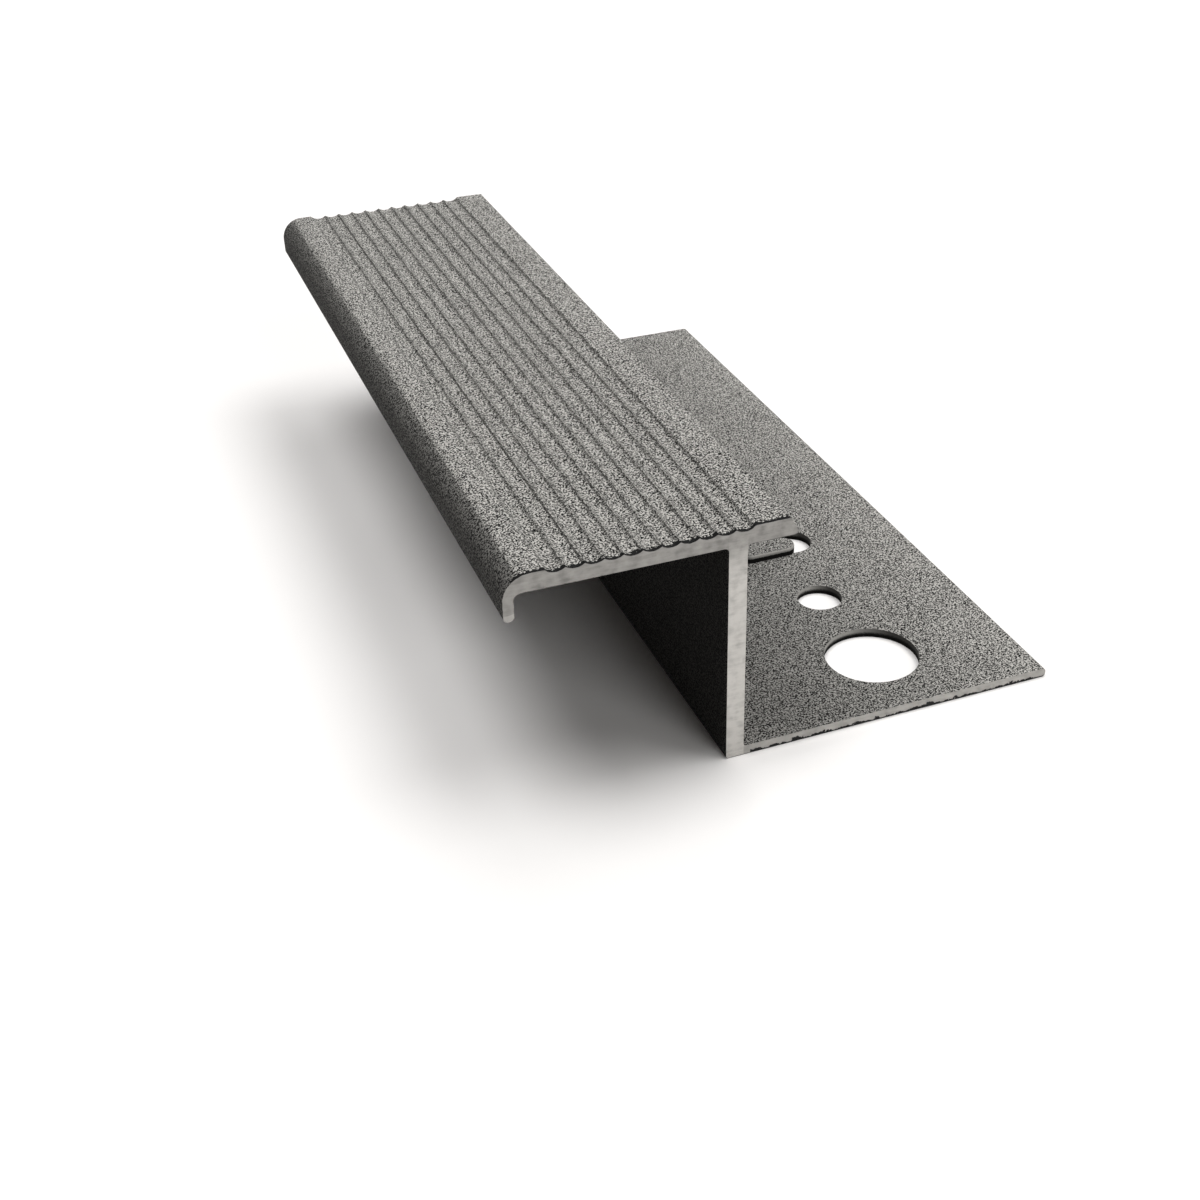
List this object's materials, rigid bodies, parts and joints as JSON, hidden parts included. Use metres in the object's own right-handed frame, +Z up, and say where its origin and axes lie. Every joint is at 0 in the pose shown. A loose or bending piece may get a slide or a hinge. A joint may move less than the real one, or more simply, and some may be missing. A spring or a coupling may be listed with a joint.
{
  "type": "stair nosing",
  "caption": "Short length of Z-section aluminium stair nosing with a grooved tread, turned-down nose, web and punched fixing flange.",
  "frame": {"origin": "on the floor under the middle of the outline: half the width, half the length", "axes": "+X from the nose to the flange's edge, +Y along the nosing, +Z up"},
  "size_m": [0.0562, 0.095, 0.025],
  "materials": {
    "coated_aluminium": "fine-textured speckled grey powder coat, sawn ends bare"
  },
  "bodies": {
    "root": {"nosing_profile": "coated_aluminium"}
  },
  "joints": []
}
